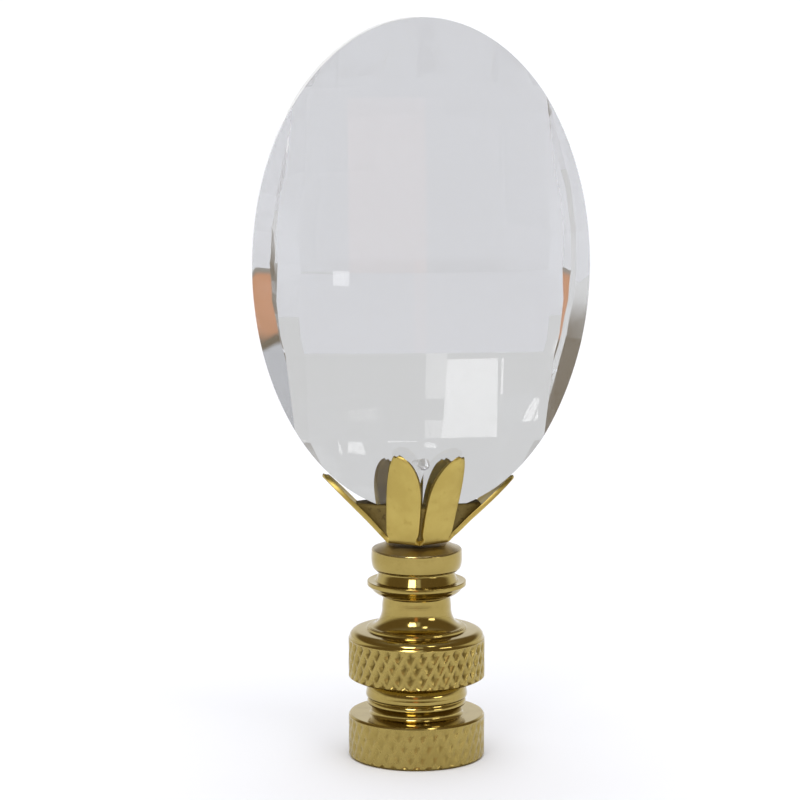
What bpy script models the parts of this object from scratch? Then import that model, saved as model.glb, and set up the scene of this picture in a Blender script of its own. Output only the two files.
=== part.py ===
"""Lamp shade finial: a faceted oval crystal, set with cement in a six-petal brass cup on a turned brass base.

Metres, +Z up. The origin is the centre of the base's underside, which stands on the table. The crystal's
faces look along -Y and +Y, and its edges along -X and +X.
"""

import math

import bmesh
import bpy
import numpy as np
from mathutils import Matrix, Vector

# Space left between touching pieces.
CLEARANCE = 0.0003

# Points closer than MERGE_DISTANCE become one, and blanks and cutters run past the shape by CUT_MARGIN.
MERGE_DISTANCE = 0.000002
CUT_TOLERANCE = 0.0000001
CUT_MARGIN = 1.1

# Knurled bands of the base.
BAND_RADIUS = 0.00705
LOWER_BAND_HEIGHT = 0.00450
UPPER_BAND_HEIGHT = 0.00430
BAND_CHAMFER = 0.00018
KNURL_DEPTH = 0.00022
KNURL_COUNT = 34
KNURL_ROWS = 3
KNURL_LEAN = -0.46
SHARP_ANGLE = 25.0

# Groove between the bands, with a rounded bead in its upper half and a small step under the bead.
GROOVE_HEIGHT = 0.00380
GROOVE_NECK_RADIUS = 0.00465
GROOVE_BEAD_RADIUS = 0.00520
GROOVE_BEAD_HEIGHT = 0.00155
GROOVE_BEAD_DROP = 0.00062
GROOVE_STEP_RADIUS = 0.00495
GROOVE_STEP_HEIGHT = 0.00060
GROOVE_FILLET = 0.00040

# Shoulder, step ring, bell and neck above the upper band.
SHOULDER_HEIGHT = 0.00075
SHOULDER_ROUND = 0.00075
STEP_RADIUS = 0.00515
STEP_HEIGHT = 0.00028
BELL_RADIUS = 0.00500
BELL_HEIGHT = 0.00208
COVE_REACH = 0.00100
COVE_HEIGHT = 0.00130
COVE_TURN = 50.0
NECK_RADIUS = 0.00356
NECK_HEIGHT = 0.00127

# Thin flange and the top disc above it.
FLANGE_RADIUS = 0.00512
FLANGE_RIM_HEIGHT = 0.00045
FLANGE_HEIGHT = 0.00152
RECESS_RADIUS = 0.00388
RECESS_FOOT_RADIUS = 0.00425
RECESS_HEIGHT = 0.00110
DISC_RADIUS = 0.00470
DISC_FOOT_RADIUS = 0.00425
DISC_HEIGHT = 0.00180
CROWN_HEIGHT = 0.00100
SEAT_RADIUS = 0.00310

# Socket for the threaded stud of a lamp harp, cut from below.
SOCKET_DIAMETER = 0.0064
SOCKET_DEPTH = 0.0100
SOCKET_CHAMFER = 0.00035
DRILL_POINT_ANGLE = 118.0

# Petal cup, stamped in sheet.
SHEET_THICKNESS = 0.00045
PETAL_COUNT = 6
PETAL_LENGTH = 0.0091
PETAL_FOOT_WIDTH = 0.00345
PETAL_WIDTH = 0.00375
PETAL_TIP_WIDTH = 0.0011
PETAL_SHOULDER = 0.50
PETAL_CUPPING = 0.00014
PETAL_CUPPED_FROM = 0.33
PETAL_BEND_RADIUS = 0.00045
PETAL_ACROSS = 5
PETAL_STEPS = 8
PETAL_BEND_STEPS = 4
CUP_FLOOR_RADIUS = 0.00284

# Sideways splay of each petal in degrees, and how far its tip is pushed over to one side.
PETAL_SPLAY = (0.0, 0.0, 0.0, 0.0, 7.0, 2.0)
PETAL_TIP_PUSH = (0.0, 0.1, -0.1, 0.0, -0.25, 0.3)

# The petals lean out until they clear the crystal: the lean is found by halving the range below it.
WIDEST_LEAN = 75.0
LEAN_HALVINGS = 24

# Crystal. It stands a little to the right of the base's axis.
CRYSTAL_WIDTH = 0.0344
CRYSTAL_HEIGHT = 0.0503
CRYSTAL_THICKNESS = 0.0140
CRYSTAL_LIFT = 0.00275
CRYSTAL_FLAT = 0.00090
CRYSTAL_OFFSET = 0.00040
COLUMN_BREAKS = (0.0077, 0.0143)
COLUMN_SLOPES = (6.0, 15.0, 42.0)
ROW_BREAKS = (0.0088, 0.0173)
ROW_SLOPES = (5.0, 11.0, 18.0)
EDGE_HALF_THICKNESS = 0.00115
EDGE_BEVEL_SLOPE = 38.0
EDGE_BEVEL_COUNT = 40
OUTLINE_SIDES = 80
DRILL_HOLE_DIAMETER = 0.0013
DRILL_HOLE_RISE = 0.0053
DRILL_HOLE_SIDES = 16

BRASS = ("polished_brass", (0.68, 0.50, 0.20), 0.16, 1.0)
SHEET_BRASS = ("satin_sheet_brass", (0.62, 0.50, 0.22), 0.34, 1.0)
CRYSTAL_GLASS = ("clear_crystal", (0.96, 0.97, 0.98), 0.02, 0.0)
CEMENT = ("brown_cement", (0.10, 0.07, 0.03), 0.55, 0.0)

# Heights of the base, stacked from the underside.
GROOVE_BOTTOM = LOWER_BAND_HEIGHT
UPPER_BAND_BOTTOM = GROOVE_BOTTOM + GROOVE_HEIGHT
SHOULDER_BOTTOM = UPPER_BAND_BOTTOM + UPPER_BAND_HEIGHT
STEP_BOTTOM = SHOULDER_BOTTOM + SHOULDER_HEIGHT
BELL_BOTTOM = STEP_BOTTOM + STEP_HEIGHT
NECK_BOTTOM = BELL_BOTTOM + BELL_HEIGHT
FLANGE_BOTTOM = NECK_BOTTOM + NECK_HEIGHT
RECESS_BOTTOM = FLANGE_BOTTOM + FLANGE_HEIGHT
DISC_BOTTOM = RECESS_BOTTOM + RECESS_HEIGHT
CROWN_BOTTOM = DISC_BOTTOM + DISC_HEIGHT
SEAT_HEIGHT = CROWN_BOTTOM + CROWN_HEIGHT
CUP_UNDERSIDE = SEAT_HEIGHT + CLEARANCE
CRYSTAL_CENTRE = CUP_UNDERSIDE + SHEET_THICKNESS + CRYSTAL_LIFT + CRYSTAL_HEIGHT / 2
TURN_STEPS = 2 * KNURL_COUNT


def clear_scene():
    for thing in list(bpy.data.objects):
        bpy.data.objects.remove(thing, do_unlink=True)


def make_collection(name):
    group = bpy.data.collections.new(name)
    bpy.context.scene.collection.children.link(group)
    return group


def make_material(name, colour, roughness, metallic):
    material = bpy.data.materials.new(name)
    material.use_nodes = True
    shader = material.node_tree.nodes["Principled BSDF"]
    shader.inputs["Base Color"].default_value = (*colour, 1.0)
    shader.inputs["Roughness"].default_value = roughness
    shader.inputs["Metallic"].default_value = metallic
    return material


def make_object(name, mesh, collection, material=None):
    thing = bpy.data.objects.new(name, mesh)
    collection.objects.link(thing)
    if material:
        mesh.materials.append(material)
    return thing


def arc(centre, radii, start, end, points):
    """Points (r, z) along an elliptic arc, angles in degrees from +r towards +z, both ends included."""
    angles = np.radians(np.linspace(start, end, points))
    return [(centre[0] + radii[0] * math.cos(a), centre[1] + radii[1] * math.sin(a)) for a in angles]


def band_side(bottom, height):
    """A band's side from its top edge to its bottom edge, with a row of points for every half knurl."""
    low, high = band_span(bottom, height)
    inner = BAND_RADIUS - BAND_CHAMFER
    rows = np.linspace(high, low, 2 * KNURL_ROWS + 1)
    return [(inner, bottom + height)] + [(BAND_RADIUS, z) for z in rows] + [(inner, bottom)]


def band_span(bottom, height):
    return bottom + BAND_CHAMFER, bottom + height - BAND_CHAMFER


def drill_tip():
    return SOCKET_DEPTH + SOCKET_DIAMETER / 2 / math.tan(math.radians(DRILL_POINT_ANGLE / 2))


def base_profile():
    """The turned outline at +X, from the seat's centre down the outer side and up the socket."""
    bore = SOCKET_DIAMETER / 2
    disc_bulge = DISC_RADIUS - DISC_FOOT_RADIUS
    crown_reach = DISC_RADIUS - SEAT_RADIUS
    bead_middle = UPPER_BAND_BOTTOM - GROOVE_BEAD_DROP - GROOVE_BEAD_HEIGHT / 2
    step_top = bead_middle - GROOVE_BEAD_HEIGHT / 2
    bead_depth = GROOVE_BEAD_RADIUS - GROOVE_NECK_RADIUS
    points = [(0.0, SEAT_HEIGHT)]
    points += arc((SEAT_RADIUS, CROWN_BOTTOM), (crown_reach, CROWN_HEIGHT), 90, 0, 4)
    points += arc((DISC_FOOT_RADIUS, CROWN_BOTTOM), (disc_bulge, DISC_HEIGHT), 0, -90, 5)[1:]
    points += [(RECESS_RADIUS, DISC_BOTTOM), (RECESS_FOOT_RADIUS, RECESS_BOTTOM)]
    points += [(FLANGE_RADIUS, RECESS_BOTTOM), (FLANGE_RADIUS, RECESS_BOTTOM - FLANGE_RIM_HEIGHT)]
    points += [(NECK_RADIUS, FLANGE_BOTTOM)]
    points += arc((NECK_RADIUS + COVE_REACH, NECK_BOTTOM), (COVE_REACH, COVE_HEIGHT), 180, 180 + COVE_TURN, 6)
    points += [(BELL_RADIUS, BELL_BOTTOM), (STEP_RADIUS, BELL_BOTTOM), (STEP_RADIUS, STEP_BOTTOM)]
    points += arc((BAND_RADIUS - BAND_CHAMFER - SHOULDER_ROUND, SHOULDER_BOTTOM),
                  (SHOULDER_ROUND, SHOULDER_HEIGHT), 90, 0, 4)[:-1]
    points += band_side(UPPER_BAND_BOTTOM, UPPER_BAND_HEIGHT)
    points += [(GROOVE_NECK_RADIUS, UPPER_BAND_BOTTOM)]
    points += arc((GROOVE_NECK_RADIUS, bead_middle), (bead_depth, GROOVE_BEAD_HEIGHT / 2), 90, -90, 5)[:-1]
    points += [(GROOVE_STEP_RADIUS, step_top), (GROOVE_STEP_RADIUS, step_top - GROOVE_STEP_HEIGHT)]
    points += [(GROOVE_NECK_RADIUS, step_top - GROOVE_STEP_HEIGHT)]
    points += [(GROOVE_NECK_RADIUS, GROOVE_BOTTOM + GROOVE_FILLET)]
    points += [(GROOVE_NECK_RADIUS + GROOVE_FILLET, GROOVE_BOTTOM)]
    points += band_side(0.0, LOWER_BAND_HEIGHT)
    points += [(bore + SOCKET_CHAMFER, 0.0), (bore, SOCKET_CHAMFER), (bore, SOCKET_DEPTH), (0.0, drill_tip())]
    return points


def turn(name, points, steps, collection):
    """Turns a profile at +X about Z, and returns the finished mesh."""
    outline = bpy.data.meshes.new(name)
    edges = [(i, i + 1) for i in range(len(points) - 1)]
    outline.from_pydata([(r, 0.0, z) for r, z in points], edges, [])
    guide = make_object(name, outline, collection)
    screw = guide.modifiers.new("turn", "SCREW")
    screw.steps = steps
    screw.render_steps = steps
    screw.use_merge_vertices = True
    screw.merge_threshold = MERGE_DISTANCE
    screw.use_normal_calculate = True
    bpy.context.view_layer.update()
    turned = bpy.data.meshes.new_from_object(guide.evaluated_get(bpy.context.evaluated_depsgraph_get()))
    bpy.data.objects.remove(guide, do_unlink=True)
    return turned


def knurl(mesh, spans):
    """Cuts crossed grooves into the bands: every second point of the grid sinks, and each grid cell is
    split from sunk point to sunk point. Each row turns a little past the one below, so the grooves lean,
    and all that stands above a band turns with its top row."""
    bm = bmesh.new()
    bm.from_mesh(mesh)
    cell_turn = 2 * math.pi / TURN_STEPS
    sunk = set()
    for vert in bm.verts:
        radius = math.hypot(vert.co.x, vert.co.y)
        angle = math.atan2(vert.co.y, vert.co.x)
        in_socket = radius < SOCKET_DIAMETER / 2 + SOCKET_CHAMFER and vert.co.z < drill_tip()
        on_side = radius > BAND_RADIUS - BAND_CHAMFER / 2
        lean = 0.0
        for low, high in spans:
            row = (min(max(vert.co.z, low), high) - low) / (high - low) * 2 * KNURL_ROWS
            on_band = on_side and low - BAND_CHAMFER / 2 < vert.co.z < high + BAND_CHAMFER / 2
            if on_band and (round(row) + round(angle / cell_turn)) % 2:
                sunk.add(vert)
            if not in_socket:
                lean += row * KNURL_LEAN * cell_turn
        if vert in sunk:
            radius -= KNURL_DEPTH
        vert.co.x = radius * math.cos(angle + lean)
        vert.co.y = radius * math.sin(angle + lean)
    for face in list(bm.faces):
        low_corners = [vert for vert in face.verts if vert in sunk]
        if len(face.verts) == 4 and len(low_corners) == 2:
            bmesh.utils.face_split(face, low_corners[0], low_corners[1])
    bmesh.ops.recalc_face_normals(bm, faces=bm.faces)
    bm.to_mesh(mesh)
    bm.free()


def make_base(collection, material):
    mesh = turn("base", base_profile(), TURN_STEPS, collection)
    knurl(mesh, [band_span(0.0, LOWER_BAND_HEIGHT), band_span(UPPER_BAND_BOTTOM, UPPER_BAND_HEIGHT)])
    mesh.shade_smooth()
    mesh.set_sharp_from_angle(angle=math.radians(SHARP_ANGLE))
    return make_object("base", mesh, collection, material)


def breaks_to_planes(breaks, slopes):
    """Slope and height drop of each facet row on one side of the middle, from its breaks and slopes."""
    planes = []
    drop = 0.0
    start = 0.0
    for slope, end in zip(slopes, (*breaks, None)):
        rise = math.tan(math.radians(slope))
        planes.append((rise, drop + rise * -start))
        if end is not None:
            drop += rise * (end - start)
            start = end
    return planes


def crystal_planes():
    """Point and outward normal of every cut that shapes the crystal, its outline included."""
    half_width = CRYSTAL_WIDTH / 2
    half_height = CRYSTAL_HEIGHT / 2
    columns = breaks_to_planes(COLUMN_BREAKS, COLUMN_SLOPES)
    rows = breaks_to_planes(ROW_BREAKS, ROW_SLOPES)
    centre = Vector((CRYSTAL_OFFSET, 0.0, CRYSTAL_CENTRE))
    cuts = []
    for face in (-1, 1):
        for x_rise, x_drop in columns:
            for z_rise, z_drop in rows:
                for x_side in (-1, 1):
                    for z_side in (-1, 1):
                        depth = CRYSTAL_THICKNESS / 2 - x_drop - z_drop
                        normal = Vector((x_side * x_rise, face, z_side * z_rise)).normalized()
                        cuts.append((centre + Vector((0.0, face * depth, 0.0)), normal))
        for index in range(EDGE_BEVEL_COUNT):
            angle = 2 * math.pi * (index + 0.5) / EDGE_BEVEL_COUNT
            across = math.cos(angle)
            up = math.sin(angle)
            rim = Vector((half_width * across, face * EDGE_HALF_THICKNESS, half_height * up))
            outward = Vector((across / half_width, 0.0, up / half_height)).normalized()
            lean = math.radians(EDGE_BEVEL_SLOPE)
            cuts.append((centre + rim, outward * math.sin(lean) + Vector((0.0, face * math.cos(lean), 0.0))))
    cuts.append((centre + Vector((0.0, 0.0, CRYSTAL_FLAT - half_height)), Vector((0.0, 0.0, -1.0))))
    return cuts


def crystal_outline_planes():
    half_width = CRYSTAL_WIDTH / 2
    half_height = CRYSTAL_HEIGHT / 2
    planes = []
    for index in range(OUTLINE_SIDES):
        angle = 2 * math.pi * index / OUTLINE_SIDES
        across = math.cos(angle)
        up = math.sin(angle)
        point = Vector((CRYSTAL_OFFSET + half_width * across, 0.0, CRYSTAL_CENTRE + half_height * up))
        planes.append((point, Vector((across / half_width, 0.0, up / half_height)).normalized()))
    return planes


def cut_blank(name, sides, size, centre, planes):
    """A round blank along Y, cut plane by plane as a gem is. Returns the mesh of what is left."""
    bm = bmesh.new()
    bmesh.ops.create_cone(bm, cap_ends=True, segments=sides, radius1=0.5, radius2=0.5, depth=1.0)
    along_y = Matrix.Rotation(math.pi / 2, 4, "X")
    bm.transform(Matrix.Translation(centre) @ Matrix.Diagonal((*size, 1.0)) @ along_y)
    for point, normal in planes:
        geometry = bm.verts[:] + bm.edges[:] + bm.faces[:]
        cut = bmesh.ops.bisect_plane(bm, geom=geometry, dist=CUT_TOLERANCE, plane_co=point, plane_no=normal,
                                     clear_outer=True)
        rim = [part for part in cut["geom_cut"] if isinstance(part, bmesh.types.BMEdge) and part.is_boundary]
        if len(rim) > 2:
            bmesh.ops.edgeloop_fill(bm, edges=rim)
    bmesh.ops.remove_doubles(bm, verts=bm.verts, dist=MERGE_DISTANCE)
    bmesh.ops.dissolve_degenerate(bm, dist=MERGE_DISTANCE, edges=bm.edges)
    bmesh.ops.recalc_face_normals(bm, faces=bm.faces)
    mesh = bpy.data.meshes.new(name)
    bm.to_mesh(mesh)
    bm.free()
    return mesh


def make_crystal(collection, cutters, material):
    """An oval slab cut to its facets, then drilled through near its lower end."""
    centre = Vector((CRYSTAL_OFFSET, 0.0, CRYSTAL_CENTRE))
    size = (CRYSTAL_WIDTH, CRYSTAL_THICKNESS * CUT_MARGIN, CRYSTAL_HEIGHT)
    mesh = cut_blank("crystal", OUTLINE_SIDES, size, centre, crystal_planes())
    crystal = make_object("crystal", mesh, collection, material)

    hole = bmesh.new()
    bmesh.ops.create_cone(hole, cap_ends=True, segments=DRILL_HOLE_SIDES, radius1=DRILL_HOLE_DIAMETER / 2,
                          radius2=DRILL_HOLE_DIAMETER / 2, depth=CRYSTAL_THICKNESS * CUT_MARGIN)
    hole_middle = centre - Vector((0.0, 0.0, CRYSTAL_HEIGHT / 2 - DRILL_HOLE_RISE))
    hole.transform(Matrix.Translation(hole_middle) @ Matrix.Rotation(math.pi / 2, 4, "X"))
    hole_mesh = bpy.data.meshes.new("drill_hole_cutter")
    hole.to_mesh(hole_mesh)
    hole.free()
    cutter = make_object("drill_hole_cutter", hole_mesh, cutters)
    cutter.hide_render = True
    cutter.display_type = "WIRE"
    drill = crystal.modifiers.new("drill_hole", "BOOLEAN")
    drill.object = cutter
    drill.operation = "DIFFERENCE"
    drill.solver = "EXACT"
    return crystal


def petal_width(along):
    """Width at a share of the petal's length: it widens from the foot, then closes to a round tip."""
    swell = np.sin(np.minimum(along / PETAL_SHOULDER, 1.0) * np.pi / 2)
    opening = PETAL_FOOT_WIDTH + (PETAL_WIDTH - PETAL_FOOT_WIDTH) * swell
    past = np.clip((along - PETAL_SHOULDER) / (1.0 - PETAL_SHOULDER), 0.0, 1.0)
    closing = PETAL_TIP_WIDTH + (PETAL_WIDTH - PETAL_TIP_WIDTH) * np.sqrt(1.0 - past ** 2)
    return np.where(along > PETAL_SHOULDER, closing, opening)


def petal_surface(azimuth, lean, splay, tip_push):
    """Middle surface of one petal as an array of points (step, across, xyz).

    The strip leaves the floor flat, turns up round the bend and runs straight to its tip. lean is the
    angle between the straight part and the vertical, splay turns that part sideways in its plane, and
    tip_push moves the closing tip over to one side, as a share of the width it has lost.
    """
    climb = math.pi / 2 - lean
    floor = CUP_UNDERSIDE + SHEET_THICKNESS / 2
    turns = np.linspace(0.0, climb, PETAL_BEND_STEPS)
    bend_r = CUP_FLOOR_RADIUS + PETAL_BEND_RADIUS * np.sin(turns)
    bend_z = floor + PETAL_BEND_RADIUS * (1.0 - np.cos(turns))
    share = np.sin(np.linspace(0.0, np.pi / 2, PETAL_STEPS)[1:])
    run_r = bend_r[-1] + share * PETAL_LENGTH * math.cos(climb)
    run_z = bend_z[-1] + share * PETAL_LENGTH * math.sin(climb)
    along = np.concatenate([np.zeros(PETAL_BEND_STEPS), share])
    centre_r = np.concatenate([bend_r, run_r])
    centre_z = np.concatenate([bend_z, run_z])
    offset = np.linspace(-1.0, 1.0, PETAL_ACROSS)
    width = petal_width(along)
    lost = np.where(along > PETAL_SHOULDER, PETAL_WIDTH - width, 0.0)
    shift = along * PETAL_LENGTH * math.tan(splay) + lost * tip_push
    side = width[:, None] / 2 * offset[None, :] + shift[:, None]
    curl = PETAL_CUPPING * np.minimum(along / PETAL_CUPPED_FROM, 1.0)[:, None] * offset[None, :] ** 2
    radial = centre_r[:, None] - curl * math.sin(climb)
    height = centre_z[:, None] + curl * math.cos(climb)
    x = radial * math.cos(azimuth) - side * math.sin(azimuth)
    y = radial * math.sin(azimuth) + side * math.cos(azimuth)
    return np.stack([x, y, height], axis=2)


def petal_lean(azimuth, splay, tip_push, planes):
    """The lean at which the petal's inner face stands one clearance off the crystal, found by halving."""
    points = np.array([point for point, normal in planes])
    normals = np.array([normal for point, normal in planes])
    offsets = (points * normals).sum(axis=1)
    wanted = CLEARANCE + SHEET_THICKNESS / 2
    tight = 0.0
    open_wide = math.radians(WIDEST_LEAN)
    for halving in range(LEAN_HALVINGS):
        middle = (tight + open_wide) / 2
        spots = petal_surface(azimuth, middle, splay, tip_push).reshape(-1, 3)
        nearest = (spots @ normals.T - offsets).max(axis=1).min()
        if nearest < wanted:
            tight = middle
        else:
            open_wide = middle
    return open_wide


def petal_poses():
    """Azimuth, lean, splay and tip push of every petal."""
    planes = crystal_planes() + crystal_outline_planes()
    poses = []
    for index in range(PETAL_COUNT):
        azimuth = 2 * math.pi * index / PETAL_COUNT
        splay = math.radians(PETAL_SPLAY[index % len(PETAL_SPLAY)])
        tip_push = PETAL_TIP_PUSH[index % len(PETAL_TIP_PUSH)]
        poses.append((azimuth, petal_lean(azimuth, splay, tip_push, planes), splay, tip_push))
    return poses


def make_cement(collection, poses, material):
    """Fills the cup up to the crystal's flat lower end, one clearance off all that it touches."""
    bottom = CUP_UNDERSIDE + SHEET_THICKNESS + CLEARANCE
    top = CRYSTAL_CENTRE - CRYSTAL_HEIGHT / 2 + CRYSTAL_FLAT - CLEARANCE
    planes = [(Vector((0.0, 0.0, top)), Vector((0.0, 0.0, 1.0)))]
    planes.append((Vector((0.0, 0.0, bottom)), Vector((0.0, 0.0, -1.0))))
    wall_gap = SHEET_THICKNESS / 2 + PETAL_CUPPING + CLEARANCE
    for azimuth, lean, splay, tip_push in poses:
        level = math.cos(lean)
        outward = Vector((math.cos(azimuth) * level, math.sin(azimuth) * level, -math.sin(lean)))
        foot = Vector(petal_surface(azimuth, lean, splay, tip_push)[PETAL_BEND_STEPS - 1].mean(axis=0))
        planes.append((foot - outward * wall_gap, outward))
    middle = Vector((0.0, 0.0, (bottom + top) / 2))
    width = 2 * (CUP_FLOOR_RADIUS + PETAL_LENGTH)
    size = (width, width, width)
    make_object("cement", cut_blank("cement", 4 * PETAL_COUNT, size, middle, planes), collection, material)


def make_petal_cup(collection, poses, material):
    """Six petals bent up from one round floor, thickened to the sheet's gauge."""
    bm = bmesh.new()
    rim = []
    for azimuth, lean, splay, tip_push in poses:
        grid = petal_surface(azimuth, lean, splay, tip_push)
        rows = [[bm.verts.new(point) for point in row] for row in grid]
        for low, high in zip(rows, rows[1:]):
            for left in range(len(low) - 1):
                bm.faces.new((low[left], high[left], high[left + 1], low[left + 1]))
        rim += rows[0]
    centre = bm.verts.new((0.0, 0.0, CUP_UNDERSIDE + SHEET_THICKNESS / 2))
    for left, right in zip(rim, rim[1:] + rim[:1]):
        bm.faces.new((centre, left, right))
    bmesh.ops.recalc_face_normals(bm, faces=bm.faces)
    mesh = bpy.data.meshes.new("petal_cup")
    bm.to_mesh(mesh)
    bm.free()
    mesh.shade_smooth()
    cup = make_object("petal_cup", mesh, collection, material)
    sheet = cup.modifiers.new("sheet", "SOLIDIFY")
    sheet.thickness = SHEET_THICKNESS
    sheet.offset = 0.0
    sheet.use_even_offset = True
    return cup


def main():
    clear_scene()
    finial = make_collection("lamp_shade_finial")
    cutters = make_collection("cutters")
    make_base(finial, make_material(*BRASS))
    poses = petal_poses()
    make_petal_cup(finial, poses, make_material(*SHEET_BRASS))
    make_cement(finial, poses, make_material(*CEMENT))
    make_crystal(finial, cutters, make_material(*CRYSTAL_GLASS))


main()
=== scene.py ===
import math

import bmesh
import bpy
import numpy as np
from mathutils import Matrix, Vector


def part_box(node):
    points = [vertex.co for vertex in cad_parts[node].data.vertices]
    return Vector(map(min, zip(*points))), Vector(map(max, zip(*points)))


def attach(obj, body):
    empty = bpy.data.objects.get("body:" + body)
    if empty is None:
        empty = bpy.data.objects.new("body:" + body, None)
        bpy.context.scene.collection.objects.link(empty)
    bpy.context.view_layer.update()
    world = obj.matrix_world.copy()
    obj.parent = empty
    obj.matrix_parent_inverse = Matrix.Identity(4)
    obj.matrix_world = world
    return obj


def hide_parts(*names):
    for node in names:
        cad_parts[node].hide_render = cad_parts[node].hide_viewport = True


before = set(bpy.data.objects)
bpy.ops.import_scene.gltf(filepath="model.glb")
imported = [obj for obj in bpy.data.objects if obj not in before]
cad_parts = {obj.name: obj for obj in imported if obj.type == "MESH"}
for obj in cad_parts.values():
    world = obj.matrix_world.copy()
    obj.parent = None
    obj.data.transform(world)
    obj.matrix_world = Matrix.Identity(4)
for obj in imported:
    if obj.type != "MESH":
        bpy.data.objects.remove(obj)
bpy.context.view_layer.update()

# Lamp shade finial: a faceted oval crystal in a petal cup on a turned brass base.
# Metres, +Z up, the base's underside on the table at z = 0, the crystal's face towards -Y.

mm = 0.001


class Wire:
    # One output of a node tree. A Python sum on it adds the Math node for it.
    def __init__(self, finish, socket):
        self.finish = finish
        self.socket = socket

    def maths(self, operation, *others):
        return self.finish.node("ShaderNodeMath", {"operation": operation}, dict(enumerate(others)))

    def __add__(self, other):
        return self.maths("ADD", self, other)

    def __radd__(self, other):
        return self.maths("ADD", other, self)

    def __sub__(self, other):
        return self.maths("SUBTRACT", self, other)

    def __rsub__(self, other):
        return self.maths("SUBTRACT", other, self)

    def __mul__(self, other):
        return self.maths("MULTIPLY", self, other)

    def __rmul__(self, other):
        return self.maths("MULTIPLY", other, self)

    def ramp(self, low, high):  # 0 at low, 1 at high, smooth between
        settings = {"interpolation_type": "SMOOTHSTEP"}
        return self.finish.node("ShaderNodeMapRange", settings, {0: self, 1: low, 2: high, 3: 0.0, 4: 1.0})

    def blend(self, first, second):  # a colour between two, this wire as the share of the second
        return self.finish.node("ShaderNodeMix", {"data_type": "RGBA"}, {0: self, 6: first, 7: second}, 2)


class Finish:
    # A material, or the world, and the one way nodes get into it.
    def __init__(self, name, owner=None):
        self.owner = owner or bpy.data.materials.new(name)
        self.owner.use_nodes = True
        self.tree = self.owner.node_tree
        kinds = {node.type: node for node in self.tree.nodes}
        self.shader = kinds.get("BSDF_PRINCIPLED") or kinds["BACKGROUND"]

    def node(self, kind, settings=None, values=None, output=0):
        made = self.tree.nodes.new(kind)
        for key, value in (settings or {}).items():
            setattr(made, key, value)
        for key, value in (values or {}).items():
            self.feed(made.inputs[key], value)
        return Wire(self, made.outputs[output])

    def feed(self, target, value):
        if isinstance(value, Wire):
            self.tree.links.new(value.socket, target)
        elif isinstance(value, tuple) and len(target.default_value) == 4:
            target.default_value = (*value, 1.0)
        else:
            target.default_value = value

    def set(self, **values):  # sockets of the shader, named as in baseColor or coatWeight
        for name, value in values.items():
            words = "".join(" " + letter if letter.isupper() else letter for letter in name)
            label = words.title().replace("Ior", "IOR")
            self.feed(self.shader.inputs[label], value)

    def place(self, output="Object"):
        return self.node("ShaderNodeTexCoord", output=output)

    def parts(self, vector):  # x, y and z of a vector
        split = self.node("ShaderNodeSeparateXYZ", values={0: vector}).socket.node
        return [Wire(self, socket) for socket in split.outputs]

    def noise(self, scale, detail=2.0, roughness=0.5, vector=None):
        values = {"Vector": vector or self.place(), "Scale": scale, "Detail": detail, "Roughness": roughness}
        return self.node("ShaderNodeTexNoise", values=values)

    def painted(self, name):  # a number stored on the mesh's points
        return self.node("ShaderNodeAttribute", {"attribute_name": name}, output="Fac")

    def bump(self, height, depth):
        self.set(normal=self.node("ShaderNodeBump", values={"Distance": depth, "Height": height}))


def gridFaces(rows, columns, closed):
    # Quads between neighbouring rows of a grid of points; closed joins the last column to the first.
    row = np.arange(rows - 1)[:, None]
    column = np.arange(columns if closed else columns - 1)[None, :]
    after = (column + 1) % columns
    here, below = row * columns, (row + 1) * columns
    return np.stack([here + column, here + after, below + after, below + column], axis=2).reshape(-1, 4)


def cappedFaces(rows, columns):
    # Faces of a closed grid whose rows run from the top down the outside, with a fan at either end round the
    # two points that come after it, the first row's centre and the last row's.
    ring = np.arange(columns)
    after = (ring + 1) % columns
    last = (rows - 1) * columns
    centre = np.full(columns, rows * columns)
    faces = gridFaces(rows, columns, True)[:, ::-1].tolist()
    faces += np.stack([centre, ring, after], axis=1).tolist()
    faces += np.stack([centre + 1, last + after, last + ring], axis=1).tolist()
    return faces


def newPiece(name, points, faces, smoothAngle, painted=None):
    mesh = bpy.data.meshes.new(name)
    mesh.from_pydata(np.asarray(points).tolist(), [], [list(face) for face in faces])
    for label, numbers in (painted or {}).items():
        layer = mesh.attributes.new(label, "FLOAT", "POINT")
        layer.data.foreach_set("value", np.asarray(numbers, dtype=np.float32))
    mesh.update()
    mesh.shade_smooth()
    mesh.set_sharp_from_angle(angle=math.radians(smoothAngle))
    piece = bpy.data.objects.new(name, mesh)
    bpy.context.scene.collection.objects.link(piece)
    return piece


def bendOf(start, end, centre, points):
    # Points on a quarter of an ellipse about centre, from start to end with both of them.
    turn = np.linspace(0.0, np.pi / 2, points)[:, None]
    start, end, centre = (np.array(spot) for spot in (start, end, centre))
    return centre + np.cos(turn) * (start - centre) + np.sin(turn) * (end - centre)


def runOf(start, end, points):
    # Evenly spaced points on a straight line, start and end among them.
    share = np.linspace(0.0, 1.0, points)[:, None]
    return np.array(start) * (1.0 - share) + np.array(end) * share


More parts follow.
